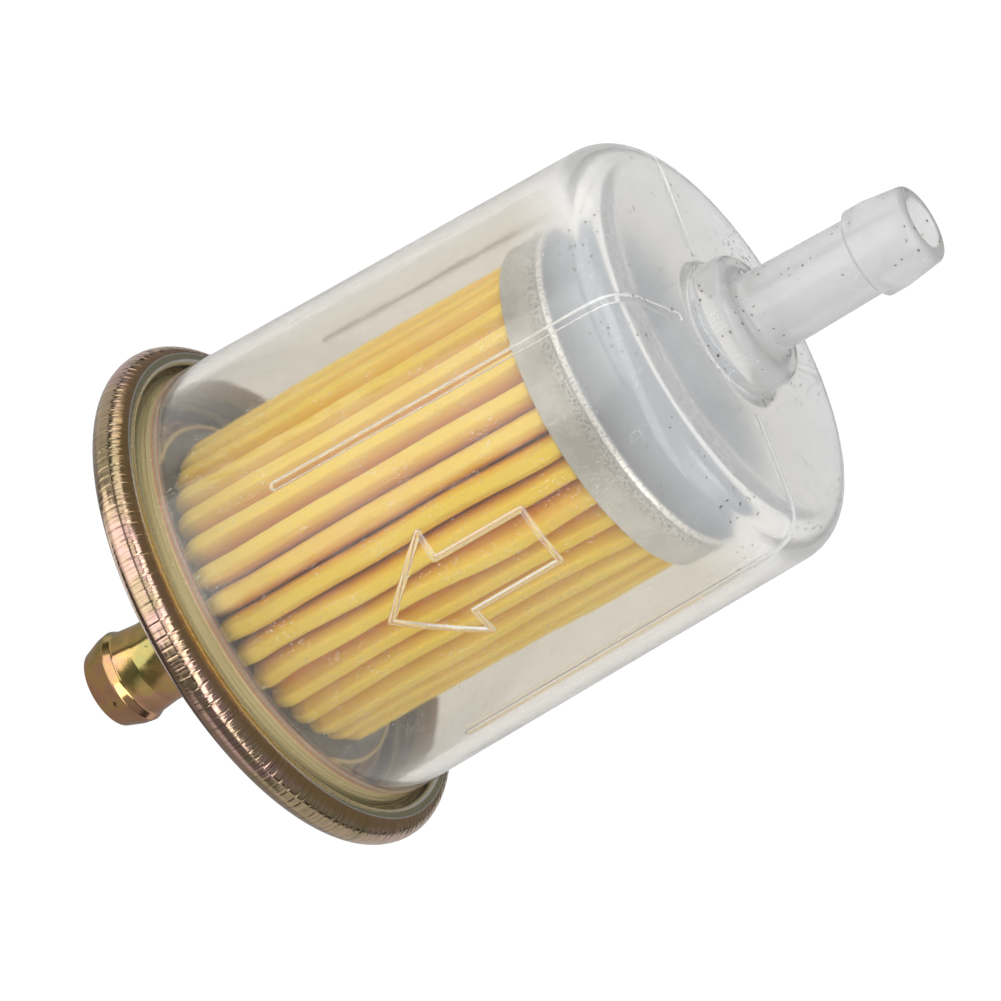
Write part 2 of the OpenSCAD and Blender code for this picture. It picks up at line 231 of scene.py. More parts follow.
def spin(name, chain, angles, material, shift=None, closed=True, marks=None):
    """Turns a chain (r, z) about Z. shift(angle, r, z, nr) moves points along the normals, in mm.

    marks(angle, r, z, nr) fills the point attribute "mark", which the material can read.
    """
    a = np.asarray(angles)[:, None]
    r, z = chain[None, :, 0] + 0 * a, chain[None, :, 1] + 0 * a
    n = normals_of(chain, closed)
    mark = marks(a, r, z, n[None, :, 0]) if marks else None
    if shift is not None:
        d = shift(a, r, z, n[None, :, 0])
        r, z = r + d * n[None, :, 0], z + d * n[None, :, 1]
    faces = grid_faces(len(angles), len(chain), True, closed)
    obj = add_mesh(name, around(r, a, z), faces, material)
    if marks is not None:
        attribute = obj.data.attributes.new("mark", "FLOAT", "POINT")
        attribute.data.foreach_set("value", mark.ravel().astype(np.float32))
    return obj


def even(n):
    return np.arange(n) * FULL_TURN / n


def smoothstep(x, low, high):
    t = np.clip((x - low) / (high - low), 0, 1)
    return t * t * (3 - 2 * t)


def wobble(x, period, seed, octaves=3):
    """Smooth repeatable noise of one coordinate that closes on itself after period."""
    local = np.random.default_rng(seed)
    out = 0 * x
    for k in range(octaves):
        for _ in range(3):
            cycles = local.integers(1 + 3 * k, 4 + 5 * k)
            out = out + np.sin(FULL_TURN * cycles * x / period + local.uniform(0, 6.28)) / (1 + k)
    return out / (3 * octaves)


# ---------------------------------------------------------------- node tools


class Graph:
    """The node tree of a material or world, with short calls for the nodes that are used here."""

    def __init__(self, owner):
        owner.use_nodes = True
        self.owner = owner
        self.tree = owner.node_tree

    def node(self, kind, inputs=None, **settings):
        n = self.tree.nodes.new("ShaderNode" + kind)
        for key, value in settings.items():
            setattr(n, key, value)
        for key, value in (inputs or {}).items():
            self.put(n.inputs[key], value)
        return n

    def put(self, socket, value):
        if isinstance(value, bpy.types.NodeSocket):
            self.tree.links.new(value, socket)
        else:
            socket.default_value = value

    def math(self, op, a, b=0.0, clamp=False):
        n = self.node("Math", operation=op, use_clamp=clamp)
        for socket, value in zip(n.inputs, (a, b)):
            self.put(socket, value)
        return n.outputs[0]

    def joined(self, op, values):
        total = values[0]
        for value in values[1:]:
            total = self.math(op, total, value)
        return total

    def times(self, *values):
        return self.joined("MULTIPLY", values)

    def plus(self, *values):
        return self.joined("ADD", values)

    def most(self, *values):
        return self.joined("MAXIMUM", values)

    def minus(self, a, b):
        return self.math("SUBTRACT", a, b)

    def size_of(self, value):
        return self.math("ABSOLUTE", value)

    def position(self):
        return self.node("TexCoord").outputs["Object"]

    def scaled(self, vector, scale):
        n = self.node("VectorMath", operation="MULTIPLY")
        self.put(n.inputs[0], vector)
        self.put(n.inputs[1], scale)
        return n.outputs[0]

    def dot(self, vector, axis):
        n = self.node("VectorMath", operation="DOT_PRODUCT")
        self.put(n.inputs[0], vector)
        self.put(n.inputs[1], tuple(axis))
        return n.outputs["Value"]

    def cylinder(self):
        """Angle in turns, radius in metres and height in metres of the shaded point."""
        x, y, z = self.node("SeparateXYZ", {"Vector": self.position()}).outputs
        angle = self.math("DIVIDE", self.math("ARCTAN2", y, x), FULL_TURN)
        radius = self.math("SQRT", self.plus(self.times(x, x), self.times(y, y)))
        return angle, radius, z

    def vector(self, x, y, z):
        return self.node("CombineXYZ", {"X": x, "Y": y, "Z": z}).outputs[0]

    def noise(self, vector, scale, detail=3.0, roughness=0.5, distortion=0.0):
        inputs = {"Vector": vector, "Scale": scale, "Detail": detail}
        inputs |= {"Roughness": roughness, "Distortion": distortion}
        return self.node("TexNoise", inputs).outputs["Fac"]

    def cells(self, vector, scale):
        """Distance to the nearest of some randomly placed points."""
        inputs = {"Vector": vector, "Scale": scale, "Randomness": 1.0}
        return self.node("TexVoronoi", inputs).outputs["Distance"]

    def ramp(self, value, stops):
        n = self.node("ValToRGB", {"Fac": value})
        n.color_ramp.interpolation = "LINEAR"
        while len(n.color_ramp.elements) < len(stops):
            n.color_ramp.elements.new(0.5)
        for element, (place, colour) in zip(n.color_ramp.elements, stops):
            element.position = place
            element.color = (*colour, 1)
        return n.outputs[0]

    def grade(self, value, low, high, to_low=0.0, to_high=1.0):
        """value from low to high, mapped to to_low to to_high and held there outside."""
        n = self.node("MapRange")
        for socket, v in zip(n.inputs, (value, low, high, to_low, to_high)):
            self.put(socket, v)
        return n.outputs[0]

    def between(self, value, low, low_end, high_end, high):
        """1 from low_end to high_end, falling to 0 at low and high."""
        return self.times(self.grade(value, low, low_end), self.grade(value, high, high_end))

    def mix(self, factor, a, b):
        n = self.node("Mix", data_type="RGBA", blend_type="MIX")
        self.put(n.inputs[0], factor)
        self.put(n.inputs[6], a)
        self.put(n.inputs[7], b)
        return n.outputs[2]

    def bump(self, height, distance, strength=1.0, normal=None):
        n = self.node("Bump", {"Height": height, "Distance": distance, "Strength": strength})
        if normal is not None:
            self.put(n.inputs["Normal"], normal)
        return n.outputs[0]

    def principled(self, **inputs):
        n = self.node("BsdfPrincipled", {key.replace("_", " "): value for key, value in inputs.items()})
        self.put(self.output.inputs["Surface"], n.outputs[0])
        return n

    def let_light_in(self, shader, tint):
        """Rays from lamps and soft bounces pass straight through, tinted, so that what is inside is lit."""
        path = self.node("LightPath")
        clear = self.node("BsdfTransparent", {"Color": tint}).outputs[0]
        surface = shader.outputs[0]
        for ray in ("Is Diffuse Ray", "Is Shadow Ray"):
            mixer = self.node("MixShader")
            for socket, value in zip(mixer.inputs, (path.outputs[ray], surface, clear)):
                self.put(socket, value)
            surface = mixer.outputs[0]
        self.put(self.output.inputs["Surface"], surface)

    def seen_or_mirrored(self, seen_strength, mirrored_strength):
        """One strength for rays from the camera or through plastic, another for all other rays."""
        path = self.node("LightPath")
        seen = self.most(path.outputs["Is Camera Ray"], path.outputs["Is Transmission Ray"])
        mirrored = self.times(self.minus(1.0, seen), mirrored_strength)
        return self.plus(self.times(seen, seen_strength), mirrored)


def material_graph(name):
    """The graph of a new material, empty but for its output node."""
    g = Graph(bpy.data.materials.new(name))
    g.tree.nodes.clear()
    g.output = g.node("OutputMaterial")
    return g


def rgb(r, g, b):
    return (r, g, b, 1.0)


def up(height):
    """A height above the rim's underside in mm, as the z of a shaded point in metres."""
    return (RIM_Z + height) * MM


# ---------------------------------------------------------------- clear plastic

# How milky it is, from 0 for clear to 1 for opaque
HAZE_WALL = 0.03
HAZE_END = 0.165
HAZE_CORNER = 0.10
HAZE_NIPPLE = 0.20
HAZE_FOOT = (0.18, 0.62)
HAZE_SCUFF = 0.30
HAZE_DUST = 0.20
# the next value whitens the raised lines as a painted highlight
HAZE_PAINTED_HIGHLIGHT = 0.42
# Tints of what shows through it
WALL_TINT = rgb(0.80, 0.77, 0.71)
END_TINT = rgb(0.965, 0.97, 0.975)
NIPPLE_TINT = rgb(0.66, 0.665, 0.67)
SPECK_TINT = rgb(0.12, 0.10, 0.08)
FOOT_LOW = 3.0
FOOT_TOP = 5.9
# Painted reflection: the thick foot's tint paints the plated base as coloured rings, from FOOT_LOW at 0 to
# FOOT_TOP at 1
FOOT_PAINTED_REFLECTION = [
    (0.0, (0.34, 0.32, 0.20)),
    (0.10, (0.66, 0.58, 0.34)),
    (0.70, (0.60, 0.51, 0.29)),
    (0.79, (0.64, 0.32, 0.26)),
    (0.88, (0.26, 0.20, 0.11)),
    (0.97, (0.82, 0.79, 0.73)),
]


def scuffs(g, p):
    """Short scuffs: stretched noise, cut to thin threads and kept in patches."""
    threads = g.noise(g.scaled(p, (700.0, 700.0, 150.0)), 1.0, 2.0, 0.5, 1.5)
    thin = g.grade(g.size_of(g.minus(threads, 0.5)), 0.0, 0.005, 1, 0)
    return g.times(thin, g.grade(g.noise(p, 260.0, 1.0), 0.52, 0.60))


def dust(g, p, end):
    """Pale dust on the wall, in patches that thin out towards the end."""
    distance = g.cells(g.scaled(p, (1.0, 1.0, 0.55)), 2900.0)
    size = g.times(g.grade(g.noise(p, 300.0, 2.0), 0.40, 0.64), g.grade(end, 0, 1, 0.25, 0.0))
    return g.math("LESS_THAN", distance, size)


def specks(g, p, end):
    """Dark ragged specks moulded in, mostly near the end."""
    ragged = g.grade(g.noise(p, 6000.0, 2.0), 0.3, 0.7, 0.2, 1.6)
    patch = g.times(g.grade(g.noise(p, 230.0, 2.0), 0.44, 0.60), ragged)
    size = g.times(patch, g.grade(end, 0, 1, 0.04, 0.17))
    return g.math("LESS_THAN", g.cells(p, 1250.0), size)


def clear_plastic():
    """Milky clear moulding: mostly see-through, hazier at the end and nipple, with specks and scuffs, a
    painted reflection of the plated base in its foot and a painted highlight on its raised lines.
    """
    g = material_graph("clear_plastic")
    p = g.position()
    angle, radius, z = g.cylinder()
    end = g.grade(z, up(45.5), up(52.0))
    corner = g.times(g.grade(radius, 16.6 * MM, 18.4 * MM), g.grade(z, up(54.2), up(54.6)))
    nipple = g.times(g.grade(z, up(54.0), up(56.5)), g.grade(radius, 7.8 * MM, 6.6 * MM))
    foot = g.grade(z, up(5.8), up(5.3))
    # fine rings round the axis: noise stretched along the angle
    stretched = g.vector(g.times(angle, 5.0), g.times(radius, 2600.0), g.times(z, 2600.0))
    rings = g.noise(stretched, 1.0, 2.0, 0.6)

    cloud = g.grade(g.noise(p, 90.0, 3.0, 0.55), 0.3, 0.7, -0.015, 0.03)
    haze = g.plus(g.grade(end, 0, 1, HAZE_WALL, HAZE_END), cloud)
    haze = g.plus(haze, g.times(corner, HAZE_CORNER))
    footed = g.times(foot, g.grade(rings, 0.3, 0.7, *HAZE_FOOT))
    haze = g.plus(haze, g.plus(g.times(nipple, HAZE_NIPPLE), footed))
    haze = g.plus(haze, g.times(scuffs(g, p), HAZE_SCUFF))
    haze = g.plus(haze, g.times(dust(g, p, end), HAZE_DUST))
    # the mark attribute carries a painted highlight on the raised lines
    mark = g.node("Attribute", attribute_name="mark").outputs["Fac"]
    haze = g.math("ADD", haze, g.times(mark, HAZE_PAINTED_HIGHLIGHT), clamp=True)

    speck = specks(g, p, end)
    tint = g.mix(end, WALL_TINT, END_TINT)
    tint = g.mix(nipple, tint, NIPPLE_TINT)
    # painted reflection of the plated base in the foot's tint
    tint = g.mix(foot, tint, g.ramp(g.grade(z, up(FOOT_LOW), up(FOOT_TOP)), FOOT_PAINTED_REFLECTION))
    fine = g.grade(g.noise(p, 2600.0, 2.0, 0.6), 0.3, 0.7, 0.04, 0.08)
    frosted = g.times(g.grade(end, 0, 1, 0.0, 0.09), g.grade(radius, 8 * MM, 10 * MM, 0.5, 1.0))
    uneven = g.bump(g.noise(p, 160.0, 3.0, 0.5), 0.00004, 0.5)
    shader = g.principled(
        Base_Color=g.mix(speck, tint, SPECK_TINT),
        Roughness=g.plus(fine, frosted),
        IOR=1.47,
        Specular_IOR_Level=0.3,
        Transmission_Weight=g.minus(1.0, g.most(haze, speck)),
        Normal=g.bump(g.times(rings, foot), 0.00006, 0.6, uneven),
    )
    g.let_light_in(shader, rgb(0.95, 0.94, 0.92))
    return g.owner


# ---------------------------------------------------------------- plated steel

# Stains of yellow zinc plating, by the thickness of its film from 0 to 1
ZINC_STAINS = {
    "rim": [
        (0.30, (0.33, 0.27, 0.14)),
        (0.41, (0.48, 0.37, 0.22)),
        (0.48, (0.54, 0.38, 0.25)),
        (0.54, (0.58, 0.37, 0.32)),
        (0.62, (0.49, 0.36, 0.23)),
        (0.72, (0.32, 0.27, 0.15)),
    ],
    "pan": [
        (0.30, (0.42, 0.39, 0.18)),
        (0.42, (0.60, 0.50, 0.26)),
        (0.50, (0.66, 0.44, 0.34)),
        (0.57, (0.56, 0.50, 0.28)),
        (0.70, (0.38, 0.40, 0.25)),
    ],
    "stem": [
        (0.30, (0.26, 0.30, 0.13)),
        (0.40, (0.40, 0.34, 0.12)),
        (0.47, (0.66, 0.44, 0.16)),
        (0.53, (0.66, 0.36, 0.22)),
        (0.60, (0.50, 0.30, 0.17)),
        (0.72, (0.28, 0.28, 0.13)),
    ],
}
RIM_LINE_R = 24.74


def rim_wear_and_painted_light(g, angle, radius, z, colour, normal):
    """Tool lines and grime across the roll, painted shade on its underside and inside the lip, a painted
    reflection on its upper side, a painted highlight line, and the lip's bare edge.

    Returns the colour, the normal and how bare the steel is.
    """
    tool_lines = g.vector(g.times(angle, 900.0), g.times(radius, 260.0), g.times(z, 260.0))
    outer = g.grade(radius, 24.0 * MM, 25.2 * MM, 0.35, 1.0)
    ticks = g.times(g.grade(g.noise(tool_lines, 1.0, 3.0, 0.75), 0.52, 0.64), outer)
    normal = g.bump(ticks, 0.00001, 0.7, normal)
    colour = g.mix(g.times(ticks, 0.30), colour, rgb(0.12, 0.08, 0.05))
    smears = g.vector(g.times(angle, 500.0), g.times(radius, 150.0), 0.0)
    grime = g.grade(g.noise(smears, 1.0, 2.0), 0.48, 0.70)
    colour = g.mix(g.times(grime, 0.5), colour, rgb(0.10, 0.06, 0.04))

    upper = g.grade(z, up(3.4), up(3.8))
    # painted reflection: the top of the roll is coloured dark brown, as if it mirrored the bowl's dark foot
    colour = g.mix(g.times(upper, 0.75), colour, rgb(0.40, 0.24, 0.10))
    # painted reflection: olive gold where the roll turns in, the mirrored colour of the plated base and the
    # bowl's foot
    rolled_in_painted_reflection = g.times(upper, g.grade(radius, 24.78 * MM, 24.68 * MM))
    colour = g.mix(rolled_in_painted_reflection, colour, rgb(0.44, 0.40, 0.25))
    # painted highlight: a thin pale line along the top of the roll
    from_line = g.size_of(g.minus(radius, RIM_LINE_R * MM))
    painted_highlight_line = g.times(upper, g.grade(from_line, 0.10 * MM, 0.04 * MM, 0.0, 0.6))
    colour = g.mix(painted_highlight_line, colour, rgb(0.86, 0.84, 0.86))
    # painted shade: the underside of the roll is darkened to brown
    painted_shade_under = g.times(g.grade(z, up(1.6), up(1.3)), g.grade(radius, 24.2 * MM, 24.8 * MM))
    colour = g.mix(g.times(painted_shade_under, 0.75), colour, rgb(0.19, 0.12, 0.075))

    lip_edge = g.grade(radius, 24.12 * MM, 24.04 * MM)
    bare = g.times(lip_edge, g.grade(z, up(3.75), up(3.9)))
    # painted shade: the lip's inner face, between the rim and the bowl, is darkened to near black
    lip_inside = g.grade(radius, 23.92 * MM, 23.84 * MM)
    painted_shade_in_lip = g.times(lip_inside, g.grade(z, up(3.9), up(3.75)), g.grade(z, up(0.3), up(0.5)))
    colour = g.mix(g.times(painted_shade_in_lip, 0.8), colour, rgb(0.06, 0.06, 0.055))
    colour = g.mix(bare, colour, rgb(0.90, 0.88, 0.84))
    return colour, normal, bare


def zinc(name, kind):
    """Yellow zinc plating on steel: gold, olive, pink and brown stains on bright metal, with painted light on
    the rim and painted reflection colour round the stem.
    """
    g = material_graph(name)
    p = g.position()
    angle, radius, z = g.cylinder()
    large = g.noise(p, 70.0, 3.0, 0.6, 0.8)
    small = g.noise(p, 420.0, 4.0, 0.65, 0.4)
    film = g.plus(g.times(large, 0.7), g.times(small, 0.3))
    if kind == "stem":
        # the plating goes from green through gold to pink round the tube, fixed to its sides: partly stain,
        # partly painted reflection
        turned = g.math("SINE", g.times(g.plus(angle, 0.305), FULL_TURN))
        film = g.plus(g.times(film, 0.9), g.plus(g.times(turned, 0.10), 0.07))
    colour = g.ramp(film, ZINC_STAINS[kind])
    normal = g.bump(g.noise(p, 1500.0, 3.0, 0.6), 0.00001, 0.4)
    rough = g.grade(small, 0.3, 0.7, 0.08, 0.17)
    if kind == "rim":
        colour, normal, bare = rim_wear_and_painted_light(g, angle, radius, z, colour, normal)
        rough = g.plus(rough, g.times(bare, 0.25))
    if kind == "pan":
        # turning marks
        rings = g.noise(g.vector(g.times(angle, 4.0), g.times(radius, 2200.0), 0.0), 1.0, 3.0, 0.7)
        normal = g.bump(rings, 0.00008, 0.7, normal)
    if kind == "stem":
        nick = g.grade(g.noise(g.scaled(p, (300.0, 300.0, 520.0)), 1.0, 3.0, 0.7, 0.5), 0.66, 0.70)
        colour = g.mix(g.times(nick, 0.8), colour, rgb(0.05, 0.05, 0.05))
    g.principled(Base_Color=colour, Metallic=0.7 if kind == "pan" else 1.0, Roughness=rough, Normal=normal)
    return g.owner


# ---------------------------------------------------------------- element and hidden parts

# Height where the upper cap's flat skirt ends and its shoulder starts
SKIRT_TOP = 45.4


def cap_steel():
    """Bright zinc sheet with a faint grain and dull patches, its skirt painted paler than its top, a band of
    dark grains below the shoulder and a painted highlight along it. The lower cap is gold.
    """
    g = material_graph("cap_steel")
    p = g.position()
    angle, radius, z = g.cylinder()
    stretched = g.vector(g.times(angle, 260.0), g.times(radius, 700.0), g.times(z, 300.0))
    grain = g.noise(stretched, 1.0, 3.0, 0.65)
    patch = g.noise(p, 150.0, 4.0, 0.6)
    gritty = g.noise(p, 3600.0, 3.0, 0.75)
    colour = g.mix(g.grade(patch, 0.35, 0.7), rgb(0.23, 0.27, 0.32), rgb(0.34, 0.38, 0.43))
    colour = g.mix(g.grade(grain, 0.45, 0.72, 0.0, 0.5), colour, rgb(0.30, 0.31, 0.32))

    # painted light: the skirt is coloured paler than the top of the same sheet
    skirt = g.grade(z, up(SKIRT_TOP), up(SKIRT_TOP - 0.3))
    skirt_painted_paler_colour = g.mix(g.grade(patch, 0.35, 0.65), rgb(0.50, 0.52, 0.53), rgb(0.76, 0.78, 0.79))
    colour = g.mix(skirt, colour, skirt_painted_paler_colour)
    below = g.times(g.grade(z, up(SKIRT_TOP - 1.8), up(SKIRT_TOP - 0.4)), skirt)
    colour = g.mix(g.times(below, g.grade(gritty, 0.48, 0.60)), colour, rgb(0.24, 0.24, 0.24))
    # painted highlight: a bright broken line along the shoulder
    shoulder_marks = (up(SKIRT_TOP + mm) for mm in (-0.1, 0.1, 0.4, 0.6))
    shoulder = g.between(z, *shoulder_marks)
    colour = g.mix(g.times(shoulder, g.grade(gritty, 0.35, 0.50)), colour, rgb(0.92, 0.92, 0.90))

    low_cap = g.grade(z, up(12.0), up(4.0))
    g.principled(
        Base_Color=g.mix(low_cap, colour, rgb(0.70, 0.56, 0.31)),
        Metallic=g.grade(z, up(4.0), up(12.0), 0.4, 1.0),
        Roughness=g.grade(patch, 0.3, 0.7, 0.40, 0.55),
        Normal=g.bump(grain, 0.00005, 0.6, g.bump(patch, 0.00012, 0.5)),
    )
    return g.owner


def filter_paper():
    """Resin-dipped yellow paper: pale ridges, painted shade as deeper orange in the folds, loose fibres, and
    darker towards the lower edge.
    """
    g = material_graph("filter_paper")
    p = g.position()
    _, radius, z = g.cylinder()
    stain = g.noise(g.scaled(p, (1.0, 1.0, 0.35)), 150.0, 4.0, 0.6)
    fibres = g.noise(g.scaled(p, (1.0, 1.0, 0.6)), 5200.0, 4.0, 0.7, 0.6)
    # painted shade: deeper, darker orange in the folds, paler on the ridges
    fold_shade_to_ridge = [
        (0.0, (0.92, 0.46, 0.02)),
        (0.45, (0.88, 0.50, 0.03)),
        (0.85, (0.85, 0.59, 0.06)),
        (1.0, (0.86, 0.63, 0.085)),
    ]
    colour = g.ramp(g.grade(radius, 12.5 * MM, (PAPER_R - 0.1) * MM), fold_shade_to_ridge)
    colour = g.mix(g.grade(stain, 0.5, 0.8, 0.0, 0.55), colour, rgb(0.80, 0.40, 0.08))
    colour = g.mix(g.grade(fibres, 0.55, 0.85, 0.0, 0.3), colour, rgb(0.97, 0.80, 0.35))
    # darker towards the lower edge
    darker_low_end = g.grade(g.plus(z, g.times(stain, 0.002)), up(PAPER_LOW + 3.0), up(PAPER_LOW + 1.2))
    colour = g.mix(g.times(darker_low_end, 0.65), colour, rgb(0.30, 0.20, 0.08))
    g.principled(Base_Color=colour, Roughness=0.92, Normal=g.bump(fibres, 0.00006, 0.7))
    return g.owner


def plain(name, colour, dark, roughness, metallic=0.0):
    """A simple finish that still varies: two tones, uneven gloss and a fine bump."""
    g = material_graph(name)
    p = g.position()
    tone = g.noise(p, 500.0, 4.0, 0.6)
    g.principled(
        Base_Color=g.mix(g.grade(tone, 0.3, 0.7), rgb(*dark), rgb(*colour)),
        Metallic=metallic,
        Roughness=g.grade(tone, 0.3, 0.7, roughness + 0.08, roughness - 0.05),
        Normal=g.bump(g.noise(p, 2000.0, 3.0), 0.00003, 0.6),
    )
    return g.owner


CLEAR = clear_plastic()
RIM_ZINC = zinc("rim_zinc", "rim")
PAN_ZINC = zinc("pan_zinc", "pan")
STEM_ZINC = zinc("stem_zinc", "stem")
CAP_STEEL = cap_steel()
PAPER = filter_paper()
RUBBER = plain("seal_rubber", (0.50, 0.47, 0.33), (0.36, 0.34, 0.22), 0.62)
POTTING = plain("potting_compound", (0.13, 0.13, 0.12), (0.07, 0.07, 0.065), 0.35)
TUBE_STEEL = plain("tube_steel", (0.62, 0.62, 0.63), (0.45, 0.45, 0.46), 0.4, metallic=1.0)

# ---------------------------------------------------------------- bowl

FAR = 99.0
# Spacing of mesh points across the raised lines, in mm, and round them, in degrees
FINE = 0.11
RIB_END_FINE = 0.1
ARROW_FAN = np.arange(-18.0, 18.01, 0.22)
RIB_FAN = np.arange(-3.0, 3.01, 0.2)


def wrap(a):
    return (a + math.pi) % FULL_TURN - math.pi


def segment_distance(x, y, p, q):
    """Distance from points (x, y) to the segment from p to q."""
    dx, dy = q[0] - p[0], q[1] - p[1]
    t = np.clip(((x - p[0]) * dx + (y - p[1]) * dy) / (dx * dx + dy * dy), 0, 1)
    return np.hypot(x - p[0] - t * dx, y - p[1] - t * dy)


def arrow_distance(x, y):
    """Distance on the unrolled wall from the middle of the arrow's raised line, in mm."""
    inset = ARROW_LINE / 2
    half = math.atan2(ARROW_HEAD_W / 2, ARROW_HEAD)
    tip = inset / math.sin(half)
    head = ARROW_HEAD - inset
    side = (head - tip) * math.tan(half)
    shaft = ARROW_SHAFT_W / 2 - inset
    tail = ARROW_LEN - inset
    right = [(side, head), (shaft, head), (shaft, tail)]
    path = [(0, tip), *right, *((-across, along) for across, along in reversed(right))]
    return np.min([segment_distance(x, y, p, q) for p, q in zip(path, path[1:] + path[:1])], axis=0)


def line_distances(a, r, z, nr):
    """Distances in mm from the arrow's line outside and from the ribs' middles inside, FAR elsewhere."""
    on_outside = (nr > 0.9) & (z > ARROW_TIP - 1) & (z < ARROW_TIP + ARROW_LEN + 1)
    x = wrap(a - ARROW_ANGLE) * BOWL_BASE_R
    arrow = np.where(on_outside, arrow_distance(x, z - ARROW_TIP), FAR)
    on_inside = (z > RIB_START - 1) & (z < END_Z + 0.01) & (nr < 0.001) & (r > RIB_STOP - 1)
    past = np.maximum(RIB_START + RIB_W / 2 - z, RIB_STOP + RIB_W / 2 - r)
    rib = 0 * (a + r) + FAR
    for angle in RIB_ANGLES:
        across = np.abs(wrap(a - angle)) * np.maximum(r, 1)
        rib = np.minimum(rib, np.hypot(across, np.maximum(past, 0)))
    return arrow, np.where(on_inside, rib, FAR)


def bowl_shift(a, r, z, nr):
    """Ribs on the inner faces and the raised arrow on the outer wall."""
    arrow, rib = line_distances(a, r, z, nr)
    arrow = smoothstep(arrow, ARROW_LINE / 2 + 0.02, ARROW_LINE / 2 - 0.10) * ARROW_RELIEF
    return arrow + smoothstep(rib, RIB_W / 2 + 0.05, RIB_W / 2 - 0.10) * RIB_H


def bowl_painted_highlights(a, r, z, nr):
    """Painted highlight on the raised lines, how white they look: about 1 on their slopes, less on the flat
    of the arrow's line.
    """
    arrow, rib = line_distances(a, r, z, nr)
    on_arrow = smoothstep(np.abs(arrow - ARROW_LINE / 2 + 0.04), 0.13, 0.03)
    on_arrow = np.maximum(on_arrow, 0.4 * (arrow < ARROW_LINE / 2))
    return np.maximum(on_arrow, 1.2 * smoothstep(np.abs(rib - RIB_W / 2 + 0.03), 0.13, 0.03))


def bowl_angles():
    """Angles round the bowl, close together over the arrow and the ribs."""
    special = [ARROW_ANGLE + math.radians(d) for d in ARROW_FAN]
    for angle in RIB_ANGLES:
        special += [angle + math.radians(d) for d in RIB_FAN]
    special = np.array(special)
    base = [b for b in even(160) if np.min(np.abs(wrap(special - b))) > math.radians(0.8)]
    return np.unique(np.round(np.concatenate([special, base]) % FULL_TURN, 6))


def bowl_spacing(r, z):
    """Longest segment of the bowl's chain at (r, z), short over the arrow and the ends of the ribs."""
    if ARROW_TIP - 0.6 < z < ARROW_TIP + ARROW_LEN + 0.6 and r > BOWL_TOP_R:
        return FINE
    if abs(z - RIB_START - 0.2) < 0.9 or (z > END_Z - 0.5 and abs(r - RIB_STOP) < 1.0):
        return RIB_END_FINE
    return 1.0


def make_bowl():
    corners = [
        (BOWL_BASE_R - BOWL_WALL, FLANGE_LOW, 0),
        (FLANGE_R, FLANGE_LOW, 0.15),
        (FLANGE_R, FLANGE_TOP, 0.2),
        (BOWL_BASE_R, FLANGE_TOP, 0.8),
        (BOWL_TOP_R, BODY_H, CORNER_R),
        (BOSS_R, BODY_H, 1.3),
        (BOSS_R - 0.1, BOSS_TOP, 1.1),
        (NIPPLE_ROOT_R, BOSS_TOP, 1.0),
        (NIPPLE_NECK_R, BARB_Z, 0.2),
        (BARB_R, BARB_Z + 0.35, 0.25),
        (BARB_R, BARB_Z + 2.1, 0.6),
        (BARB_TIP_R, NIPPLE_TOP, 0.7),
        (NIPPLE_BORE_R, NIPPLE_TOP, 0.25),
        (NIPPLE_BORE_R, RECESS_TOP, 0.5),
        (RECESS_R, RECESS_TOP, 0.5),
        (RECESS_R, END_Z, 0.3),
        (BOWL_TOP_R - BOWL_WALL, END_Z, INNER_CORNER_R),
        (BOWL_BASE_R - BOWL_WALL, FLANGE_LOW, 0),
    ]
    chain = refined_ring(rounded(corners, 8.0)[:-1], bowl_spacing)
    bowl = spin("bowl_moulding", chain, bowl_angles(), CLEAR, bowl_shift, marks=bowl_painted_highlights)
    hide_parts("bowl")


make_bowl()

# ---------------------------------------------------------------- crimped base


def crimp_shift(a, r, z, nr):
    """Tool marks of the crimp: narrow notches across the rolled bead, each a little different."""
    local = np.random.default_rng(5)
    turns = (a % FULL_TURN) / FULL_TURN
    place = turns * CRIMPS + 0.6 * wobble(turns, 1.0, 3)
    cell = np.floor(place).astype(int) % CRIMPS
    inside = place - np.floor(place)
    depth = local.uniform(0.02, 0.08, CRIMPS)[cell]
    centre = local.uniform(0.3, 0.7, CRIMPS)[cell]
    width = local.uniform(0.045, 0.08, CRIMPS)[cell]
    tilt = local.uniform(-0.12, 0.12, CRIMPS)[cell]
    level = local.uniform(0.0, 0.010, CRIMPS)[cell]
    slant = (z - ROLL_R) / RIM_H * tilt
    notch = np.exp(-(((inside - centre - slant) / width) ** 2))
    over = np.arctan2(z - ROLL_R, r - ROLL_C)
    band = smoothstep(over, -0.9, -0.2) * smoothstep(over, 1.9, 1.2)
    ripple = 0.008 + 0.008 * wobble(turns * CRIMPS * 3 + over * 2, CRIMPS * 3.0, 9)
    return -(notch * depth + level + ripple) * band


def rim_chain():
    """Section of the rolled rim, walked from the sunk floor's edge round the outside to the inside."""
    foot_r = DISH_R + 0.2
    turns = np.radians(np.arange(-88, 89, 6))
    roll = [(ROLL_C + ROLL_R * math.cos(t), ROLL_R + ROLL_R * math.sin(t)) for t in turns]
    lip = [(23.95, 4.22), (23.78, 4.08), (23.66, 3.85), (23.6, 3.5), (23.62, 3.2), (23.75, FLANGE_TOP + 0.02)]
    cavity = [(25.35, FLANGE_TOP + 0.02), (25.55, ROLL_R), (25.35, SHEET + 0.1), (25.05, SHEET)]
    return np.array([(foot_r, 0.0), *roll, *lip, *cavity, (foot_r, SHEET)])


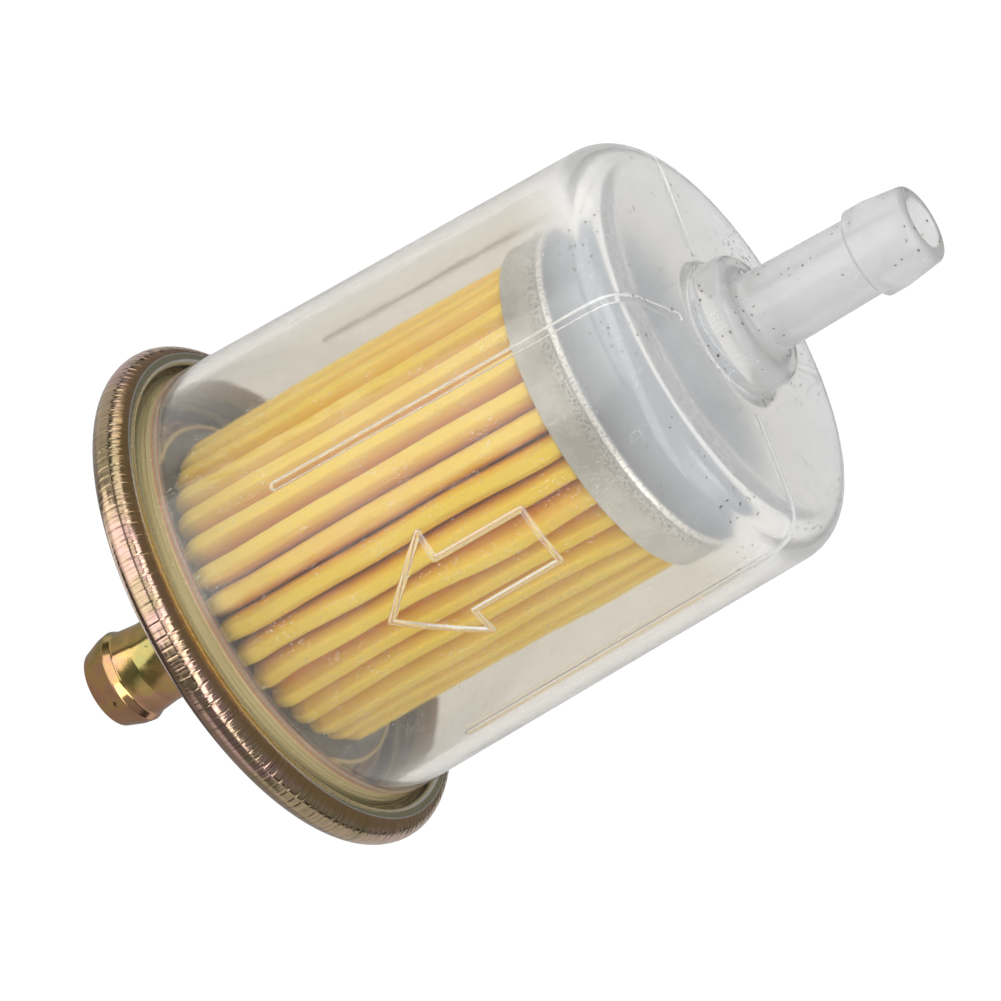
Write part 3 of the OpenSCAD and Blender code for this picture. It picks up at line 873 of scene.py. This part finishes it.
def make_base():
    rim = refined(rim_chain(), lambda r, z: 0.5)
    base_rim = spin("base_rim", rim, even(CRIMPS * 16), RIM_ZINC, crimp_shift)
    neck_r = STEM_R + SHEET
    neck_end = -DISH_DEPTH - NECK_LENGTH
    floor = rounded(
        [
            (STEM_R, neck_end, 0),
            (neck_r, neck_end, 0.2),
            (neck_r, -DISH_DEPTH, 0.8),
            (DISH_R - 0.8, -DISH_DEPTH, 0.8),
            (DISH_R, 0.0, 0.5),
            (DISH_R + 0.6, 0.0, 0),
            (DISH_R + 0.6, SHEET, 0),
            (DISH_R + 0.2, SHEET, 0.4),
            (DISH_R - 0.6, SHEET - DISH_DEPTH, 0.8),
            (STEM_R, SHEET - DISH_DEPTH, 0.3),
            (STEM_R, neck_end, 0),
        ],
        12.0,
    )[:-1]
    base_floor = spin("base_floor", refined(floor, lambda r, z: 1.5), even(160), PAN_ZINC)
    for piece in (base_rim, base_floor):
        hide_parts("base_pan")


make_base()

# ---------------------------------------------------------------- outlet stem


def stem_shift(a, r, z, nr):
    """The part outside the base is a little out of round."""
    uneven = 0.5 + 0.5 * wobble(a + 0 * z, FULL_TURN, 21, 1)
    return -0.035 * uneven * (r > 3.5) * (z < -4)


def make_stem():
    low = -STEM_LENGTH
    corners = [
        (STEM_BORE_R, low, 0),
        (3.95, low, 0.35),
        (4.62, low + 1.9, 1.6),
        (4.78, low + 2.9, 0.35),
        (4.40, low + 3.7, 0.9),
        (4.18, low + 5.8, 2.0),
        (STEM_R, STEM_INNER_TOP, 0.2),
        (STEM_BORE_R, STEM_INNER_TOP, 0),
        (STEM_BORE_R, low, 0),
    ]
    chain = refined_ring(rounded(corners, 8.0)[:-1], lambda r, z: 0.8)
    stem = spin("outlet_tube", chain, even(160), STEM_ZINC, stem_shift)
    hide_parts("outlet_stem")


make_stem()

# ---------------------------------------------------------------- filter element


def pleat_profile():
    """One pleat across, as sideways distances and radii in mm: up one side, over the ridge and down."""
    half_ridge = [
        (-0.8, 9.7, 0),
        (-1.04, 12.0, 0),
        (-1.18, 13.7, 0.8),
        (-1.02, 15.0, 1.5),
        (-0.6, PAPER_R, 0.7),
        (0.0, PAPER_R, 0),
    ]
    side, radius = refined(rounded(half_ridge, 12.0), lambda w, r: 0.9).T
    return np.concatenate([side, -side[-2::-1]]), np.concatenate([radius, radius[-2::-1]])


def pleat_sway(h):
    """How far each pleat leans sideways and sinks inwards, in mm, at the heights h from 0 to 1."""
    lean = np.zeros((len(h), PLEATS))
    drop = np.zeros((len(h), PLEATS))
    local = np.random.default_rng(17)
    for k in range(PLEATS):
        for cycles in (0.5, 1.1, 2.3):
            size = local.normal(0, 0.11) / cycles**0.5
            lean[:, k] += size * np.sin(FULL_TURN * cycles * h + local.uniform(0, 6.28))
            size = abs(local.normal(0, 0.16)) / cycles**0.5
            drop[:, k] += size * (0.5 + 0.5 * np.sin(FULL_TURN * cycles * h + local.uniform(0, 6.28)))
    return lean, drop


def make_paper():
    """Pleats with rounded ridges and tight folds, leaning and waving a little along their height."""
    w, r = pleat_profile()
    base = np.concatenate([k * FULL_TURN / PLEATS + w / np.maximum(r, 1) for k in range(PLEATS)])
    radii = np.tile(r, PLEATS)
    owner = np.repeat(np.arange(PLEATS), len(w))
    heights = PAPER_LOW + (PAPER_HIGH - PAPER_LOW) * np.linspace(0, 1, 80) ** 1.3
    h = (heights - PAPER_LOW) / (PAPER_HIGH - PAPER_LOW)
    lean, drop = pleat_sway(h)
    free = (smoothstep(h, 0.0, 0.12) * smoothstep(h, 1.0, 0.9))[:, None]
    tipness = smoothstep(radii, 10.5, 16.0)[None, :]
    lean = lean[:, owner] * free * tipness
    drop = drop[:, owner] * (0.25 + 0.75 * free) * tipness
    # the lower ends of the ridges are rounded off
    drop += 0.9 * (1 - np.sqrt(smoothstep(heights, PAPER_LOW - 0.3, PAPER_LOW + 1.7)))[:, None] * tipness
    angles = base[None, :] + lean / 16.0
    verts = around(radii[None, :] - drop, angles, heights[:, None] + 0 * angles)
    faces = grid_faces(len(heights), len(base), False, True)[:, ::-1]
    paper = add_mesh("pleats", verts, faces, PAPER)
    thick = paper.modifiers.new("thickness", "SOLIDIFY")
    thick.thickness = PAPER_T * MM
    thick.offset = -1
    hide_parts("pleated_paper")


make_paper()


def dented(amount, seed):
    """A shift for spin that presses the outer part of a cap in unevenly, by up to amount in mm."""

    def shift(a, r, z, nr):
        return -amount * (0.5 + 0.5 * wobble(a + 0 * r, FULL_TURN, seed)) * smoothstep(r, 10, 14)

    return shift


def cap_sizes(node):
    """Underside, top and outer radius of an end cap, in mm."""
    low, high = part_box(node)
    return low.z / MM - RIM_Z, high.z / MM - RIM_Z, high.x / MM


def make_upper_cap():
    """A cup turned from an open chain, from the middle of its underside round to the middle of its top."""
    low, top, r = cap_sizes("upper_end_cap")
    corners = [
        (0.02, top - CAP_SHEET, 0),
        (r - CAP_SHEET, top - CAP_SHEET, 0.6),
        (r - CAP_SHEET, low, 0.12),
        (r, low, 0.12),
        (r, top, 0.95),
        (0.02, top, 0),
    ]
    chain = refined(rounded(corners, 8.0), lambda r, z: 1.0)
    cap = spin("element_cap_upper", chain, even(200), CAP_STEEL, dented(0.05, 31), closed=False)
    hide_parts("upper_end_cap")


def make_lower_cap():
    """A cup with a hole in its floor for the grommet."""
    low, top, r = cap_sizes("lower_end_cap")
    corners = [
        (LOWER_CAP_HOLE_R, low, 0),
        (r, low, 1.2),
        (r, top, 0.12),
        (r - CAP_SHEET, top, 0.12),
        (r - CAP_SHEET, low + CAP_SHEET, 0.9),
        (LOWER_CAP_HOLE_R, low + CAP_SHEET, 0),
        (LOWER_CAP_HOLE_R, low, 0),
    ]
    chain = refined_ring(rounded(corners, 8.0)[:-1], lambda r, z: 1.0)
    cap = spin("element_cap_lower", chain, even(200), CAP_STEEL, dented(0.05, 37))
    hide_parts("lower_end_cap")


make_upper_cap()
make_lower_cap()

# ---------------------------------------------------------------- CAD nodes that stay in view

for node, material in {
    "bowl_gasket": RUBBER,
    "outlet_grommet": RUBBER,
    "upper_potting": POTTING,
    "lower_potting": POTTING,
    "center_tube": TUBE_STEEL,
}.items():
    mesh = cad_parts[node].data
    mesh.materials.clear()
    mesh.materials.append(material)

# ---------------------------------------------------------------- stage and light

# Directions are (azimuth, elevation) in degrees as seen from the object. Azimuth 0 is the camera's side.
# It grows to the right of somebody who looks at the upright object from there.
FLOOR_SIZE = 4.0
FLOOR_SEEN = 0.92
WALLS_SEEN = 0.86
MIRRORED_SHEET = 1.4
MIRRORED_DARK = 0.03


def towards(azimuth, elevation):
    a, e = math.radians(VIEW_AZIMUTH + azimuth), math.radians(elevation)
    return Vector((math.sin(a) * math.cos(e), -math.cos(a) * math.cos(e), math.sin(e)))


def mirrored_table(g, p):
    """The table as the plating mirrors it: a bright sheet of paper on the left and dark gaps on its right.

    turn is the azimuth of a point in degrees, a little ragged, and away its distance from the axis in metres.
    """
    side = g.dot(p, towards(90, 0))
    front = g.dot(p, towards(0, 0))
    turn = g.times(g.math("ARCTAN2", side, front), 180 / math.pi)
    turn = g.plus(turn, g.grade(g.noise(p, 70.0, 3.0, 0.6), 0.2, 0.8, -9, 9))
    away = g.math("SQRT", g.plus(g.times(side, side), g.times(front, front)))
    beyond_stem = g.grade(away, 0.010, 0.012)

    # the sheet runs from azimuth -59 to an edge that swings left near the axis and back under the rim
    sheet_edge = g.most(g.grade(away, 0.014, 0.025, 14, -40), g.grade(away, 0.029, 0.032, -60, -3))
    past_edge = g.minus(turn, sheet_edge)
    sheet = g.times(g.grade(turn, -59, -56), g.grade(past_edge, 0, -3))
    sheet = g.times(sheet, beyond_stem)

    # dark gaps to the right of the sheet: close to the stem, under the rim and further out
    near_gap = g.times(g.grade(past_edge, 58, 42), g.grade(away, 0.032, 0.029))
    near_gap = g.times(near_gap, g.grade(away, 0.012, 0.015))
    rim_gap = g.times(g.grade(turn, 20, 15), g.grade(away, 0.029, 0.034))
    far_gap = g.times(g.grade(turn, 66, 58), g.grade(away, 0.047, 0.050))
    dark = g.times(g.grade(past_edge, 0, 2), g.most(g.most(rim_gap, near_gap), far_gap))
    # a dark line along the sheet's left side
    side_line = g.between(turn, -69, -66, -59, -57)
    dark = g.most(dark, g.times(side_line, beyond_stem))

    bare = g.times(g.grade(away, 0.012, 0.034, 0.18, 0.50), g.grade(dark, 0, 1, 1.0, MIRRORED_DARK))
    return g.plus(bare, g.times(sheet, MIRRORED_SHEET))


def add_floor():
    """A plain white table to whoever looks at it; the plating mirrors the pattern of mirrored_table."""
    g = material_graph("floor_white")
    p = g.position()
    g.principled(
        Base_Color=g.mix(g.noise(p, 3.0, 2.0), rgb(0.20, 0.20, 0.20), rgb(0.22, 0.22, 0.22)),
        Roughness=0.9,
        Specular_IOR_Level=0.0,
        Emission_Color=rgb(1, 1, 1),
        Emission_Strength=g.seen_or_mirrored(FLOOR_SEEN, mirrored_table(g, p)),
    )
    s, bottom = FLOOR_SIZE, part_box("outlet_stem")[0].z
    mesh = bpy.data.meshes.new("floor")
    mesh.from_pydata([(-s, -s, bottom), (s, -s, bottom), (s, s, bottom), (-s, s, bottom)], [], [(0, 1, 2, 3)])
    mesh.materials.append(g.owner)
    floor = bpy.data.objects.new("floor", mesh)
    bpy.context.scene.collection.objects.link(floor)


def long_box(g, direction):
    """The main soft box: a long band from high on the left of the camera down to the right."""
    left, right = towards(-40, 42), towards(42, -2)
    across = g.size_of(g.dot(direction, left.cross(right).normalized()))
    along = g.dot(direction, (left + right).normalized())
    return g.times(g.grade(across, 0.17, 0.15), g.grade(along, 0.55, 0.60))


def wall_box(g, direction, azimuth, half_width, ahead, heights):
    """An upright soft box at an azimuth, from graded half width, facing direction and four height marks."""
    across = g.size_of(g.dot(direction, towards(azimuth, 0).cross(UP)))
    sides = g.times(g.grade(across, *half_width), g.grade(g.dot(direction, towards(azimuth, 0)), *ahead))
    return g.times(sides, g.between(g.dot(direction, UP), *heights))


def mirrored_studio(g, direction):
    """The studio as the plating mirrors it: dim walls, three soft boxes and a dark band at the horizon."""
    low_box = wall_box(g, direction, -41, (0.59, 0.57), (0.0, 0.1), (0.10, 0.16, 0.40, 0.45))
    left_box = wall_box(g, direction, -92, (0.55, 0.45), (0.1, 0.3), (0.22, 0.26, 0.58, 0.63))
    boxes = g.most(g.most(long_box(g, direction), g.times(low_box, 0.45)), g.times(left_box, 0.5))
    horizon = g.between(g.dot(direction, UP), -0.02, 0.0, 0.10, 0.16)
    return g.grade(g.minus(boxes, g.times(horizon, 0.08)), -0.08, 1, 0.06, 3.0)


def add_world():
    """White walls to whoever looks at them or through plastic; the plating mirrors mirrored_studio."""
    world = bpy.data.worlds.new("studio")
    g = Graph(world)
    direction = g.node("TexCoord").outputs["Generated"]
    background = g.tree.nodes["Background"]
    background.inputs["Color"].default_value = (1, 1, 1, 1)
    g.put(background.inputs["Strength"], g.seen_or_mirrored(WALLS_SEEN, mirrored_studio(g, direction)))
    bpy.context.scene.world = world


def add_area(name, direction, distance, size, power):
    """A square soft box in the given direction from the object, facing it. Metres and watts."""
    data = bpy.data.lights.new(name, "AREA")
    data.shape = "SQUARE"
    data.size = size
    data.energy = power
    light = bpy.data.objects.new(name, data)
    light.location = direction * distance
    light.rotation_mode = "QUATERNION"
    light.rotation_quaternion = direction.to_track_quat("Z", "Y")
    light.visible_glossy = False
    bpy.context.scene.collection.objects.link(light)


add_floor()
add_world()
add_area("key", towards(-50, 25), 0.60, 0.30, 0.6)
add_area("fill", towards(55, 20), 0.70, 0.35, 2.1)

scene = bpy.context.scene
scene.view_settings.view_transform = "Standard"
scene.view_settings.look = "None"
scene.view_settings.exposure = 0.0
scene.view_settings.gamma = 1.0
